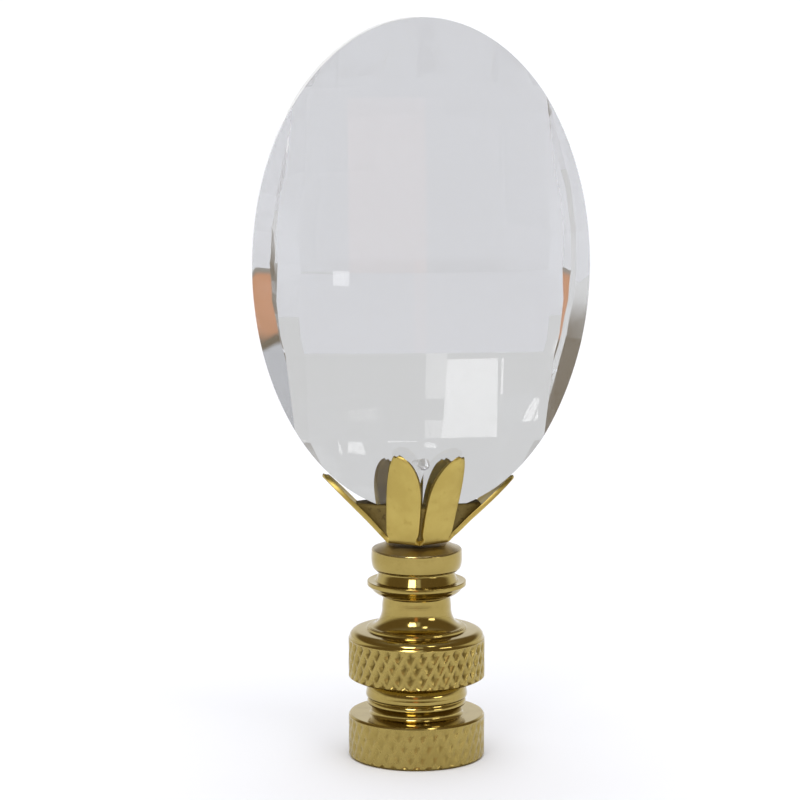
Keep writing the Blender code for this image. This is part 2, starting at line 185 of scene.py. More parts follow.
# Turned base.
baseSizes = {
    "bandRadius": 7.05 * mm,
    "lowerBand": 4.50 * mm,      # height of the lower knurled band
    "groove": 3.80 * mm,
    "upperBand": 4.30 * mm,
    "seatRadius": 3.15 * mm,
    "seat": 22.40 * mm,          # the heights from here on are above the table
    "discRadius": 4.69 * mm,
    "discFoot": 19.62 * mm,
    "collarRadius": 3.88 * mm,
    "flangeTop": 18.49 * mm,
    "flangeRadius": 5.11 * mm,
    "neckTop": 16.82 * mm,
    "neckRadius": 3.50 * mm,
    "bellTop": 15.80 * mm,
    "bellRadius": 5.14 * mm,
    "shoulder": 13.38 * mm,
    "shoulderRadius": 6.15 * mm,
    "grooveRadius": 4.66 * mm,
    "bead": 6.94 * mm,
    "beadRadius": 5.20 * mm,
    "knurls": 36,                # pits round a band
    "knurlRows": 3.5,            # rows of pits up a band, each half a pit round from the next
    "knurlDepth": 0.30 * mm,
    "wornDepth": 0.16 * mm,      # the lower band's, rubbed down by hands
    "ridge": 0.24,               # share of a pit's half width left on the ridges that lean to the right
    "crossRidge": 0.10,          # and on those that lean to the left
    "saddle": 0.12,              # depth of a left-leaning ridge between two pits, as a share of theirs
    "edgeFade": 0.25,            # share of a row over which the pits run out at a band's edge
    "columnsPerKnurl": 8,
    "rowsPerKnurl": 12,
    "threadRadius": 3.20 * mm,   # major radius in the socket
    "threadDepth": 0.50 * mm,
    "threadRunIn": 0.60 * mm,
    "threadPitch": 0.9407 * mm,  # 27 turns to the inch
    "threadSlope": 1.3,          # of its flanks, 1 for a plain zigzag
    "threadCrest": 0.15,         # share of its depth that is cut off flat
    "rowsPerThread": 6,
    "socketDepth": 10.0 * mm,
    "drillTip": 11.9 * mm,
    "smoothAngle": 32,
}

plain, upperKnurl, lowerKnurl, thread = range(4)  # zones of the turned outline


def baseProfile(size):
    # The turned outline (radius, height) from the seat's centre down the outer side and up the socket, in
    # millimetres until the end. Returns its points and the zone that each is in.
    band, low, bore, deep, tip = (size[name] / mm for name in (
        "bandRadius", "lowerBand", "threadRadius", "socketDepth", "drillTip"))
    flat, seat, disc, discFoot, collar, flangeTop, flange = (size[name] / mm for name in (
        "seatRadius", "seat", "discRadius", "discFoot", "collarRadius", "flangeTop", "flangeRadius"))
    neckTop, neck, bellTop, bell, shoulder, crown = (size[name] / mm for name in (
        "neckTop", "neckRadius", "bellTop", "bellRadius", "shoulder", "shoulderRadius"))
    groove, beadUp, bead = (size[name] / mm for name in ("grooveRadius", "bead", "beadRadius"))
    grooveTop = low + size["groove"] / mm
    high = grooveTop + size["upperBand"] / mm
    knurlPoints = round(size["knurlRows"] * size["rowsPerKnurl"]) + 1
    threadPoints = int(size["socketDepth"] / size["threadPitch"] * size["rowsPerThread"])
    chain = [
        # Seat and disc.
        (plain, runOf((0.0, seat), (flat - 0.10, seat), 4)),
        (plain, bendOf((flat, seat - 0.01), (flat + 0.10, seat - 0.04), (flat, seat - 0.04), 3)),
        (plain, runOf((flat + 0.25, seat - 0.09), (disc - 0.33, seat - 0.47), 4)),
        (plain, bendOf((disc - 0.27, seat - 0.50), (disc - 0.02, seat - 0.80),
                       (disc - 0.29, seat - 0.80), 8)),
        (plain, bendOf((disc, seat - 1.10), (disc - 0.36, discFoot + 0.10), (disc - 0.47, seat - 1.10), 9)),
        (plain, bendOf((disc - 0.38, discFoot + 0.05), (disc - 0.47, discFoot),
                       (disc - 0.47, discFoot + 0.05), 3)),
        (plain, bendOf((collar + 0.12, discFoot), (collar, discFoot - 0.12),
                       (collar + 0.12, discFoot - 0.12), 4)),
        # Collar and flange.
        (plain, runOf((collar + 0.01, discFoot - 0.20), (flange - 0.91, flangeTop + 0.13), 5)),
        (plain, bendOf((flange - 0.89, flangeTop + 0.08), (flange - 0.75, flangeTop - 0.03),
                       (flange - 0.75, flangeTop + 0.08), 4)),
        (plain, runOf((flange - 0.61, flangeTop - 0.035), (flange - 0.11, flangeTop), 3)),
        (plain, bendOf((flange - 0.08, flangeTop), (flange, flangeTop - 0.07),
                       (flange - 0.08, flangeTop - 0.07), 4)),
        (plain, bendOf((flange + 0.005, flangeTop - 0.29), (flange - 0.13, flangeTop - 0.51),
                       (flange - 0.21, flangeTop - 0.29), 5)),
        # Neck and bell.
        (plain, bendOf((flange - 0.31, flangeTop - 0.63), (neck + 0.20, neckTop + 0.16),
                       (neck + 0.45, neckTop + 0.78), 8)),
        (plain, bendOf((neck + 0.10, neckTop + 0.10), (neck, neckTop), (neck, neckTop + 0.10), 3)),
        (plain, runOf((neck, neckTop - 0.22), (neck + 0.07, bellTop + 0.15), 4)),
        (plain, bendOf((neck + 0.08, bellTop), (bell - 0.24, shoulder + 0.34), (bell - 0.14, bellTop), 16)),
        (plain, bendOf((bell - 0.25, shoulder + 0.31), (bell - 0.19, shoulder + 0.28),
                       (bell - 0.19, shoulder + 0.31), 3)),
        (plain, bendOf((bell - 0.14, shoulder + 0.28), (bell, shoulder + 0.16),
                       (bell - 0.14, shoulder + 0.16), 4)),
        # Shoulder and upper band.
        (plain, bendOf((bell, shoulder + 0.08), (bell + 0.08, shoulder), (bell + 0.08, shoulder + 0.08), 3)),
        (plain, runOf((bell + 0.26, shoulder - 0.01), (crown - 0.15, shoulder - 0.04), 3)),
        (plain, bendOf((crown, shoulder - 0.05), (band - 0.10, high + 0.02), (crown, high + 0.02), 9)),
        (upperKnurl, runOf((band, high - 0.14), (band, grooveTop + 0.16), knurlPoints)),
        (plain, bendOf((band - 0.16, grooveTop + 0.06), (band - 0.30, grooveTop),
                       (band - 0.30, grooveTop + 0.06), 3)),
        # Groove with its beads.
        (plain, runOf((band - 0.85, grooveTop), (groove + 0.24, grooveTop), 3)),
        (plain, bendOf((groove + 0.14, grooveTop), (groove, grooveTop - 0.16),
                       (groove + 0.14, grooveTop - 0.16), 3)),
        (plain, bendOf((groove, grooveTop - 0.50), (bead, beadUp + 0.04), (groove + 0.06, beadUp + 0.04), 8)),
        (plain, bendOf((bead, beadUp), (bead - 0.22, beadUp - 0.74), (groove + 0.06, beadUp), 7)),
        (plain, bendOf((bead - 0.24, beadUp - 0.78), (bead - 0.18, beadUp - 0.88),
                       (bead - 0.18, beadUp - 0.78), 3)),
        (plain, bendOf((bead - 0.14, beadUp - 0.92), (bead - 0.28, beadUp - 1.44),
                       (bead - 0.50, beadUp - 0.92), 5)),
        (plain, bendOf((groove + 0.18, low + 0.96), (groove, low + 0.78), (groove + 0.18, low + 0.78), 4)),
        (plain, bendOf((groove - 0.02, low + 0.40), (groove + 0.24, low), (groove + 0.24, low + 0.28), 5)),
        # Lower band and foot.
        (plain, runOf((band - 1.45, low), (band - 0.35, low), 3)),
        (plain, bendOf((band - 0.22, low), (band - 0.10, low - 0.08), (band - 0.22, low - 0.08), 3)),
        (lowerKnurl, runOf((band, low - 0.20), (band, 0.22), knurlPoints)),
        (plain, bendOf((band - 0.14, 0.12), (band - 0.30, 0.0), (band - 0.30, 0.12), 4)),
        (plain, runOf((band - 0.65, 0.0), (bore + 0.45, 0.0), 4)),
        # Socket, from its mouth up to the drill's tip.
        (plain, runOf((bore + 0.35, 0.03), (bore + 0.04, 0.35), 3)),
        (thread, runOf((bore, 0.42), (bore, deep), threadPoints)),
        (plain, runOf((bore - 0.1, deep + 0.06), (0.0, tip), 5)),
    ]
    zones = np.concatenate([np.full(len(points), zone) for zone, points in chain])
    return np.concatenate([points for zone, points in chain]) * mm, zones


def zigzag(turns):  # 0 on each whole turn, 1 half way to the next
    return 1.0 - np.abs(2.0 * (turns - np.floor(turns)) - 1.0)


def pastRidge(turns, ridge):  # 0 on the ridge at each whole turn, rising to 1 half way to the next
    return np.clip((zigzag(turns) - ridge) / (1.0 - ridge), 0.0, 1.0)


def knurlPits(size, angle, height):
    # Depth of the pits from 0 to 1 over (row, column): the lower of two zigzags, one climbing the band to the
    # right and one to the left, faded out towards the band's two edges.
    up = (height - height.min()) / (height.max() - height.min()) * size["knurlRows"]
    around = angle * size["knurls"] / (2 * np.pi)
    leaning = pastRidge(around - up / 2, size["ridge"])
    crossing = pastRidge(around + up / 2, size["crossRidge"])
    pit = np.minimum(leaning, size["saddle"] + (1 - size["saddle"]) * crossing)
    return pit * np.clip(np.minimum(up, size["knurlRows"] - up) / size["edgeFade"], 0.0, 1.0)


def makeBase(size):
    # The profile is turned about Z on a grid of (row, column). On a knurled band the radius drops by the
    # depth times the pits. In the socket it drops by the thread's depth times a zigzag of height over pitch
    # less turn, made steeper and clipped flat.
    profile, zones = baseProfile(size)
    columns = size["knurls"] * size["columnsPerKnurl"]
    angle = np.linspace(0.0, 2 * np.pi, columns, endpoint=False)[None, :]
    radius = np.repeat(profile[:, :1], columns, axis=1)
    height = np.repeat(profile[:, 1:], columns, axis=1)
    valley = np.zeros_like(radius)
    for zone, depth in ((upperKnurl, size["knurlDepth"]), (lowerKnurl, size["wornDepth"])):
        rows = zones == zone
        pit = knurlPits(size, angle, height[rows])
        radius[rows] -= depth * pit
        valley[rows] = pit * depth / size["knurlDepth"]
    rows = zones == thread
    turns = height[rows] / size["threadPitch"] - angle / (2 * np.pi)
    fromEnds = np.minimum(height[rows] - height[rows].min(), height[rows].max() - height[rows])
    cutting = np.clip(fromEnds / size["threadRunIn"], 0.0, 1.0)
    flanks = zigzag(turns) * size["threadSlope"] - size["threadCrest"]
    radius[rows] -= size["threadDepth"] * np.clip(flanks, 0.0, 1.0) * cutting
    grid = np.stack([radius * np.cos(angle), radius * np.sin(angle), height], axis=2)
    centres = [[0.0, 0.0, profile[0, 1]], [0.0, 0.0, profile[-1, 1]]]
    points = np.concatenate([grid[1:-1].reshape(-1, 3), centres])
    faces = cappedFaces(grid.shape[0] - 2, columns)
    banded = np.isin(zones, (upperKnurl, lowerKnurl)).astype(float)[:, None] * np.ones(columns)
    ends = [0.0, 0.0]
    painted = {"valley": np.append(valley[1:-1], ends), "knurled": np.append(banded[1:-1], ends)}
    piece = newPiece("turned_base", points, faces, size["smoothAngle"], painted)
    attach(piece, "root")
    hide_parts("base")
    return piece


brassLook = {
    "bright": (0.40, 0.305, 0.095),
    "dull": (0.32, 0.235, 0.065),
    # dark brown for the specks of dirt and for the knurl pits, whose darkening is partly dirt and partly
    # painted shade
    "dirt": (0.10, 0.07, 0.018),
    "haze": (0.40, 0.34, 0.23),  # greyer film on the disc under the petals
    "hazeFrom": (21.60 * mm, 21.95 * mm),
    "hazeLeast": 0.6,            # its share where there is no blotch
    "blotches": 420.0,           # noise scales, in waves to the metre
    "specks": 3200.0,
    "grain": 2600.0,
    "turning": 9000.0,           # the lathe's rings
    "blotchRange": (0.35, 0.70),
    "speckRange": (0.55, 0.75),
    "pitDirtAndShadeRange": (0.20, 1.00),
    "blotchShare": 0.45,
    "speckShare": 0.12,
    "pitDirtAndShadeShare": 0.45,
    "shine": 0.085,              # roughness of the turned faces
    "knurlShine": 0.24,
    "blotchShine": 0.05,         # roughness that each of these adds
    "valleyShine": 0.10,
    "hazeShine": 0.30,
    "turningBump": 0.6,
    "grainBump": 0.4,
    "turnedGrain": 0.3,          # grain on the turned faces, where the knurled ones have 1 more
    "bumpDepth": 0.006 * mm,
}


def brassFinish(look):
    finish = Finish("turned_brass")
    height = finish.parts(finish.place())[2]
    blotch = finish.noise(look["blotches"], detail=4.0, roughness=0.6).ramp(*look["blotchRange"])
    valley = finish.painted("valley")
    knurled = finish.painted("knurled")
    speck = finish.noise(look["specks"]).ramp(*look["speckRange"])
    colour = (blotch * look["blotchShare"]).blend(look["bright"], look["dull"])
    # the knurl pits darken with their depth: partly dirt, partly painted shade in the pits
    colour = (valley.ramp(*look["pitDirtAndShadeRange"]) * look["pitDirtAndShadeShare"]).blend(colour, look["dirt"])
    colour = (speck * look["speckShare"]).blend(colour, look["dirt"])
    least = look["hazeLeast"]
    haze = height.ramp(*look["hazeFrom"]) * (blotch * (1.0 - least) + least)
    colour = haze.blend(colour, look["haze"])
    roughness = knurled * (look["knurlShine"] - look["shine"]) + look["shine"]
    roughness = roughness + blotch * look["blotchShine"] + valley * look["valleyShine"]
    roughness = roughness + haze * look["hazeShine"]
    rings = finish.node("ShaderNodeCombineXYZ", values={2: height})
    turning = finish.noise(look["turning"], roughness=0.6, vector=rings)
    grain = finish.noise(look["grain"], detail=3.0) * look["grainBump"] * (knurled + look["turnedGrain"])
    finish.set(baseColor=colour, roughness=roughness, metallic=1.0)
    finish.bump(turning * look["turningBump"] + grain, look["bumpDepth"])
    return finish.owner


# Petal cup.
cupSizes = {
    "gauge": 0.45 * mm,
    "rounding": 0.06 * mm,       # of the cut edges
    "underside": 22.70 * mm,
    "floorRadius": 2.84 * mm,
    "bendRadius": 0.45 * mm,
    "petalLength": 9.1 * mm,
    "footWidth": 3.50 * mm,
    "width": 3.78 * mm,
    "tipWidth": 0.4 * mm,
    "shoulder": 0.50,            # share of the length where the tip starts to close
    "cupping": 0.16 * mm,
    "cuppingRise": 3,            # full cupping at a third of the length
    "notch": 0.22 * mm,          # cut out of each side at the fold
    "notchHeight": 0.35 * mm,
    "across": 13,
    "bendSteps": 6,
    "steps": 18,
    "tipSteps": 12,
    "edgeSegments": 2,
    "edgeAngle": 50,             # sharper edges than this are rounded
    "smoothAngle": 35,
}

petalPoses = [  # lean out of the vertical and sideways splay in degrees, and the share the tip is pushed over
    {"lean": 47.8, "splay": 0.0, "push": 0.0},
    {"lean": 15.8, "splay": 0.0, "push": 0.1},
    {"lean": 15.0, "splay": 0.0, "push": -0.1},
    {"lean": 44.4, "splay": 0.0, "push": 0.0},
    {"lean": 12.7, "splay": 7.0, "push": -0.25},
    {"lean": 17.3, "splay": 2.0, "push": 0.3},
]


def petalWidths(size):
    # Share of the length and the width at every step past the bend: the sides swell from foot to shoulder as
    # a sine, and the tip is an ellipse's arc in even turns that stops where it is as narrow as tipWidth.
    low = np.linspace(0.0, 1.0, size["steps"])[1:]
    swell = size["footWidth"] + (size["width"] - size["footWidth"]) * np.sin(low * np.pi / 2)
    lastTurn = math.acos(size["tipWidth"] / size["width"])
    turn = np.linspace(0.0, lastTurn, size["tipSteps"])[1:]
    tip = size["shoulder"] + (1 - size["shoulder"]) * np.sin(turn) / math.sin(lastTurn)
    return np.append(low * size["shoulder"], tip), np.append(swell, size["width"] * np.cos(turn))


def petalGrid(size, azimuth, pose):
    # Middle of the sheet over (step, across): flat at the floor's edge, round the bend, then straight out
    # along the lean. Across, it is the half width at that step times -1 to 1, shifted by the splay and the
    # pushed tip, and curled towards the crystal with the square of the place across.
    climb = math.pi / 2 - math.radians(pose["lean"])
    turns = np.linspace(0.0, climb, size["bendSteps"])
    floor = size["underside"] + size["gauge"] / 2
    bendOut = size["floorRadius"] + size["bendRadius"] * np.sin(turns)
    bendUp = floor + size["bendRadius"] * (1 - np.cos(turns))
    share, width = petalWidths(size)
    along = np.append(np.zeros(size["bendSteps"]), share)
    width = np.append(np.full(size["bendSteps"], size["footWidth"]), width)
    out = np.append(bendOut, bendOut[-1] + share * size["petalLength"] * math.cos(climb))
    up = np.append(bendUp, bendUp[-1] + share * size["petalLength"] * math.sin(climb))
    lost = np.where(along > size["shoulder"], size["width"] - width, 0)
    fold = (up - floor - size["bendRadius"]) / size["notchHeight"]
    width = width - 2 * size["notch"] * np.exp(-fold ** 2)
    shift = along * size["petalLength"] * math.tan(math.radians(pose["splay"])) + lost * pose["push"]
    place = np.linspace(-1.0, 1.0, size["across"])[None, :]
    side = width[:, None] / 2 * place + shift[:, None]
    curl = size["cupping"] * np.minimum(along * size["cuppingRise"], 1)[:, None] * place ** 2
    radial = out[:, None] - curl * math.sin(climb)
    height = up[:, None] + curl * math.cos(climb)
    x = radial * math.cos(azimuth) - side * math.sin(azimuth)
    y = radial * math.sin(azimuth) + side * math.cos(azimuth)
    return np.stack([x, y, height], axis=2)


def makeCup(size, poses):
    # The middle of the sheet, given its gauge and rounded edges by two modifiers.
    points, faces, rim = [], [], []
    for index, pose in enumerate(poses):
        grid = petalGrid(size, 2 * math.pi * index / len(poses), pose)
        start = sum(len(block) for block in points)
        points.append(grid.reshape(-1, 3))
        faces += (gridFaces(grid.shape[0], grid.shape[1], False) + start).tolist()
        rim += list(range(start, start + grid.shape[1]))
    points = np.concatenate(points + [np.array([[0.0, 0.0, size["underside"] + size["gauge"] / 2]])])
    centre = len(points) - 1
    faces += [(centre, right, left) for left, right in zip(rim, rim[1:] + rim[:1])]
    piece = newPiece("petal_cup_sheet", points, faces, size["smoothAngle"])
    skin = bmesh.new()
    skin.from_mesh(piece.data)
    bmesh.ops.recalc_face_normals(skin, faces=skin.faces)
    skin.to_mesh(piece.data)
    skin.free()
    sheet = piece.modifiers.new("gauge", "SOLIDIFY")
    sheet.thickness = size["gauge"]
    sheet.offset = 0.0
    sheet.use_even_offset = True
    edge = piece.modifiers.new("edge", "BEVEL")
    edge.width = size["rounding"]
    edge.segments = size["edgeSegments"]
    edge.limit_method = "ANGLE"
    edge.angle_limit = math.radians(size["edgeAngle"])
    edge.use_clamp_overlap = True
    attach(piece, "root")
    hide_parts("petal_cup")
    return piece


sheetLook = {
    "bright": (0.52, 0.40, 0.115),
    "dull": (0.43, 0.32, 0.085),
    "spot": (0.34, 0.24, 0.055),
    "clouds": 330.0,             # noise scales, in waves to the metre
    "spots": 700.0,
    "grain": 5200.0,
    "cloudRange": (0.32, 0.68),
    "spotRange": (0.58, 0.72),
    "cloudShare": 0.5,
    "spotShare": 0.35,
    "shine": 0.34,
    "cloudShine": 0.10,
    "grainShine": 0.06,
    "cloudBump": 0.7,
    "grainBump": 0.3,
    "bumpDepth": 0.012 * mm,
}


def sheetFinish(look):
    finish = Finish("sheet_brass")
    cloud = finish.noise(look["clouds"], detail=4.0, roughness=0.55).ramp(*look["cloudRange"])
    spots = finish.noise(look["spots"], detail=3.0, roughness=0.6).ramp(*look["spotRange"])
    grain = finish.noise(look["grain"], detail=3.0, roughness=0.6)
    colour = (cloud * look["cloudShare"]).blend(look["bright"], look["dull"])
    colour = (spots * look["spotShare"]).blend(colour, look["spot"])
    roughness = cloud * look["cloudShine"] + grain * look["grainShine"] + look["shine"]
    finish.set(baseColor=colour, roughness=roughness, metallic=1.0)
    finish.bump(cloud * look["cloudBump"] + grain * look["grainBump"], look["bumpDepth"])
    return finish.owner


# Cement, whose dark brown is partly its own colour and partly painted shade inside the cup.
cementSizes = {
    "bottom": 23.25 * mm,
    "top": 26.74 * mm,           # just under the crystal's flat end
    "widest": 6.6 * mm,
    "gap": 0.02 * mm,            # left between the cement and a petal
    "edge": 0.35 * mm,           # rounding of the top edge
    "ripple": 0.05 * mm,
    "ripplesUp": 5,              # radians of ripple to the millimetre
    "ripplesRound": 11,
    "sway": 3,                   # radians that the ripples wander by
    "swaysRound": 7,
    "leastFacing": 0.2,          # cosine of the widest angle at which a petal still bounds the bed
    "columns": 240,
    "rows": 40,
    "smoothAngle": 40,
}


def makeCement(size, cup, poses):
    # Grid of (height, angle) from the top down. The radius is the nearest petal's inner face in that
    # direction, its distance at that height over the cosine of the angle off it, less a quarter circle at the
    # top edge and a ripple: the sine of the height and a swaying angle, times a sine of the angle.
    angle = np.linspace(0.0, 2 * np.pi, size["columns"], endpoint=False)[None, :]
    drop = (np.linspace(0.0, 1.0, size["rows"]) ** 2 * (size["top"] - size["bottom"]))[:, None]
    height = size["top"] - drop
    reach = np.full((size["rows"], size["columns"]), size["widest"])
    for index, pose in enumerate(poses):
        lean = math.radians(pose["lean"])
        footOut = cup["floorRadius"] + cup["bendRadius"] * math.cos(lean)
        footUp = cup["underside"] + cup["gauge"] / 2 + cup["bendRadius"] * (1 - math.sin(lean))
        sheet = cup["gauge"] / 2 / math.cos(lean) + size["gap"]
        face = footOut + (height - footUp) * math.tan(lean) - sheet
        facing = np.cos(angle - 2 * math.pi * index / len(poses))
        bounded = face / np.maximum(facing, size["leastFacing"])
        reach = np.minimum(reach, np.where(facing > size["leastFacing"], bounded, size["widest"]))
    rounding = 1 - np.sqrt(1 - (1 - np.minimum(drop / size["edge"], 1)) ** 2)
    sway = size["sway"] * np.sin(angle * size["swaysRound"])
    ripple = 1 + np.sin(height / mm * size["ripplesUp"] + sway) * np.sin(angle * size["ripplesRound"])
    reach = reach - size["edge"] * rounding - size["ripple"] * ripple / 2
    grid = np.stack([reach * np.cos(angle), reach * np.sin(angle), height + 0 * angle], axis=2)
    centres = [[0.0, 0.0, size["top"]], [0.0, 0.0, size["bottom"]]]
    points = np.concatenate([grid.reshape(-1, 3), centres])
    faces = cappedFaces(size["rows"], size["columns"])
    piece = newPiece("cement_bed", points, faces, size["smoothAngle"])
    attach(piece, "root")
    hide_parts("cement")
    return piece


cementLook = {
    # dark browns: the cement's own colour, made darker as painted shade inside the cup
    "brown": (0.135, 0.095, 0.026),
    "pale": (0.22, 0.165, 0.055),
    "dark": (0.055, 0.036, 0.010),
    "clouds": 420.0,             # noise scales, in waves to the metre
    "pores": 2400.0,
    "cloudRange": (0.30, 0.70),
    "poreRange": (0.55, 0.72),
    "cloudShare": 0.6,
    "poreShare": 0.7,
    "shine": 0.60,
    "cloudShine": 0.2,
    "gloss": 0.15,
    "cloudBump": 0.5,
    "bumpDepth": 0.04 * mm,
}


def cementFinish(look):
    finish = Finish("brown_cement")
    cloud = finish.noise(look["clouds"], detail=4.0, roughness=0.6).ramp(*look["cloudRange"])
    pores = finish.noise(look["pores"], detail=3.0, roughness=0.6)
    colour = (cloud * look["cloudShare"]).blend(look["brown"], look["pale"])
    colour = (pores.ramp(*look["poreRange"]) * look["poreShare"]).blend(colour, look["dark"])
    roughness = cloud * look["cloudShine"] + look["shine"]
    finish.set(baseColor=colour, roughness=roughness, specularIorLevel=look["gloss"])
    finish.bump(pores + cloud * look["cloudBump"], look["bumpDepth"])
    return finish.owner


# Crystal.
crystalSizes = {
    "width": 34.4 * mm,
    "height": 50.3 * mm,
    "thickness": 14.0 * mm,
    "blank": 1.1,                # thickness of the uncut slab against the crystal's
    "offset": 0.4 * mm,          # the crystal's middle stands this far to the right of the base's axis
    "columnBreaks": (7.7 * mm, 14.3 * mm),  # from the middle outwards, where the facets change slope
    "columnSlopes": (6.0, 15.0, 42.0),      # degrees
    "rowBreaks": (8.8 * mm, 17.3 * mm),
    "rowSlopes": (5.0, 11.0, 18.0),
    "flat": 0.9 * mm,            # cut off the lower end
    "edgeHalf": 1.15 * mm,       # half of the rim's thickness at the sides
    "endHalf": 2.10 * mm,        # and at the upper and lower ends
    "endFrom": (0.40, 0.56),     # sines of the angles up the rim between which it thickens
    "edgeSlope": 38.0,
    "edgeCuts": 40,
    "sides": 240,
    "holeWidth": 1.3 * mm,
    "holeRise": 5.3 * mm,
    "holeSides": 32,
    "drillReach": 1.5,           # length of the drill against the crystal's thickness
    "touching": 0.0001 * mm,     # a cut takes points nearer than this as lying on it
    "merging": 0.003 * mm,
    "smoothAngle": 4.0,
}


def slopesToCuts(breaks, slopes):  # rise of each facet row and its height over the middle
    drops = [0.0]
    starts = [0.0, *breaks]
    rises = [math.tan(math.radians(slope)) for slope in slopes]
    for rise, start, end in zip(rises, starts, breaks):
        drops.append(drops[-1] + rise * (end - start))
    return [(rise, drop - rise * start) for rise, drop, start in zip(rises, drops, starts)]


def facetPlanes(size, centre):
    # Point and outward direction of every cut: on each face, one for every column and row slope on either
    # side, then a ring of rim cuts, then the flat lower end.
    columns = slopesToCuts(size["columnBreaks"], size["columnSlopes"])
    rows = slopesToCuts(size["rowBreaks"], size["rowSlopes"])
    planes = []
    for face in (-1, 1):
        for xRise, xDrop in columns:
            for zRise, zDrop in rows:
                spot = centre + Vector((0, face * (size["thickness"] / 2 - xDrop - zDrop), 0))
                planes += [(spot, Vector((xSide * xRise, face, zSide * zRise)).normalized())
                           for xSide in (-1, 1) for zSide in (-1, 1)]
        lean = math.radians(size["edgeSlope"])
        for index in range(size["edgeCuts"]):
            angle = 2 * math.pi * (index + 0.5) / size["edgeCuts"]
            across, up = math.cos(angle), math.sin(angle)
            half = np.interp(abs(up), size["endFrom"], (size["edgeHalf"], size["endHalf"]))
            rim = Vector((size["width"] / 2 * across, face * half, size["height"] / 2 * up))
            outward = Vector((across / size["width"], 0, up / size["height"])).normalized()
            planes.append((centre + rim, outward * math.sin(lean) + Vector((0, face * math.cos(lean), 0))))
    planes.append((centre + Vector((0, 0, size["flat"] - size["height"] / 2)), Vector((0, 0, -1))))
    return planes


def makeCrystal(size):
    # An oval slab cut plane by plane, as a gem is, because a grid can't follow the facets' straight edges.
    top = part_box("crystal")[1].z
    centre = Vector((size["offset"], 0, top - size["height"] / 2))
    standUp = Matrix.Rotation(math.pi / 2, 4, "X")
    gem = bmesh.new()
    bmesh.ops.create_cone(gem, cap_ends=True, segments=size["sides"], radius1=0.5, radius2=0.5, depth=1.0)
    scale = Matrix.Diagonal((size["width"], size["thickness"] * size["blank"], size["height"], 1.0))
    gem.transform(Matrix.Translation(centre) @ scale @ standUp)
    for spot, outward in facetPlanes(size, centre):
        everything = gem.verts[:] + gem.edges[:] + gem.faces[:]
        cut = bmesh.ops.bisect_plane(gem, geom=everything, dist=size["touching"], plane_co=spot,
                                     plane_no=outward, clear_outer=True)
        rim = [part for part in cut["geom_cut"] if isinstance(part, bmesh.types.BMEdge) and part.is_boundary]
        if len(rim) > 2:
            bmesh.ops.edgeloop_fill(gem, edges=rim)
    bmesh.ops.remove_doubles(gem, verts=gem.verts, dist=size["merging"])
    bmesh.ops.recalc_face_normals(gem, faces=gem.faces)
    mesh = bpy.data.meshes.new("cut_crystal")
    gem.to_mesh(mesh)
    gem.free()
    piece = bpy.data.objects.new("cut_crystal", mesh)
    bpy.context.scene.collection.objects.link(piece)
    drillThrough(piece, size, centre - Vector((0, 0, size["height"] / 2 - size["holeRise"])), standUp)
    mesh = piece.data
    mesh.shade_smooth()
    mesh.set_sharp_from_angle(angle=math.radians(size["smoothAngle"]))
    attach(piece, "root")
    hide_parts("crystal")
    return piece


def drillThrough(piece, size, middle, standUp):
    drill = bmesh.new()
    bmesh.ops.create_cone(drill, cap_ends=True, segments=size["holeSides"], radius1=size["holeWidth"] / 2,
                          radius2=size["holeWidth"] / 2, depth=size["thickness"] * size["drillReach"])
    drill.transform(Matrix.Translation(middle) @ standUp)
    mesh = bpy.data.meshes.new("drill")
    drill.to_mesh(mesh)
    drill.free()
    cutter = bpy.data.objects.new("drill", mesh)
    bpy.context.scene.collection.objects.link(cutter)
    hole = piece.modifiers.new("hole", "BOOLEAN")
    hole.object = cutter
    hole.operation = "DIFFERENCE"
    hole.solver = "EXACT"
    bpy.context.view_layer.update()
    drilled = bpy.data.meshes.new_from_object(piece.evaluated_get(bpy.context.evaluated_depsgraph_get()))
    piece.modifiers.clear()
    piece.data = drilled
    bpy.data.objects.remove(cutter, do_unlink=True)


crystalLook = {
    # grey painted into the clear crystal as painted shade, for the darker surroundings seen through it
    "tint": (0.625, 0.63, 0.635),
    "ior": 1.55,
}


def crystalFinish(look):
    finish = Finish("clear_crystal")
    # the base colour greys the clear glass: painted shade of what it shows
    finish.set(baseColor=look["tint"], roughness=0.0, transmissionWeight=1.0, ior=look["ior"])
    return finish.owner


# Floor, light and camera.
stageLook = {
    "floor": (0.895, 0.90, 0.91),
    "floorShine": 0.85,
    "floorReach": 30.0,
    "floorSides": 96,
    "pale": (0.98, 0.98, 0.98),  # the white sweep round the table
    "dark": (0.24, 0.185, 0.11),  # the room above it
    "ceilingGrey": (0.36, 0.34, 0.36),
    "roomFrom": (0.05, 0.32),    # how far up the sweep ends and the room begins, as sines
    "roomTilt": 0.22,            # it ends lower in front and higher at the back
    "ceilingFrom": (0.70, 0.95),
    # Patches in front that the crystal's left rim shows, a warm one with a light one above it. The turns are
    # radians round from the front to the right, and the ups are sines.
    "patches": (
        {"turns": (-0.215, -0.01), "ups": (0.01, 0.35), "colour": (0.85, 0.42, 0.22)},
        {"turns": (-0.10, 0.14), "ups": (0.37, 0.74), "colour": (0.74, 0.75, 0.78)},
    ),
    "patchEdge": 0.03,
    "overhead": 2.85,            # strength of the light from above
    "overheadColour": (0.87, 0.915, 1.0),
    "overheadSpread": 70,
    "windowsAway": 60.0,
    "bounces": 32,               # light paths inside the crystal are long
}

# Soft box lights: degrees round from the front, degrees up, degrees wide and high, and brightness.
windows = [
    {"turn": -19, "rise": 36, "wide": 18, "high": 21, "glow": 8.0, "brassOnly": True},
    {"turn": 29, "rise": 52, "wide": 9, "high": 9, "glow": 6.0, "brassOnly": False},
    {"turn": -27.5, "rise": 40.5, "wide": 10, "high": 10, "glow": 7.0, "brassOnly": False},
    {"turn": -16, "rise": 38, "wide": 6, "high": 9, "glow": 3.2, "brassOnly": False},
    {"turn": 46, "rise": 10, "wide": 20, "high": 5, "glow": 6.0, "brassOnly": False},
]

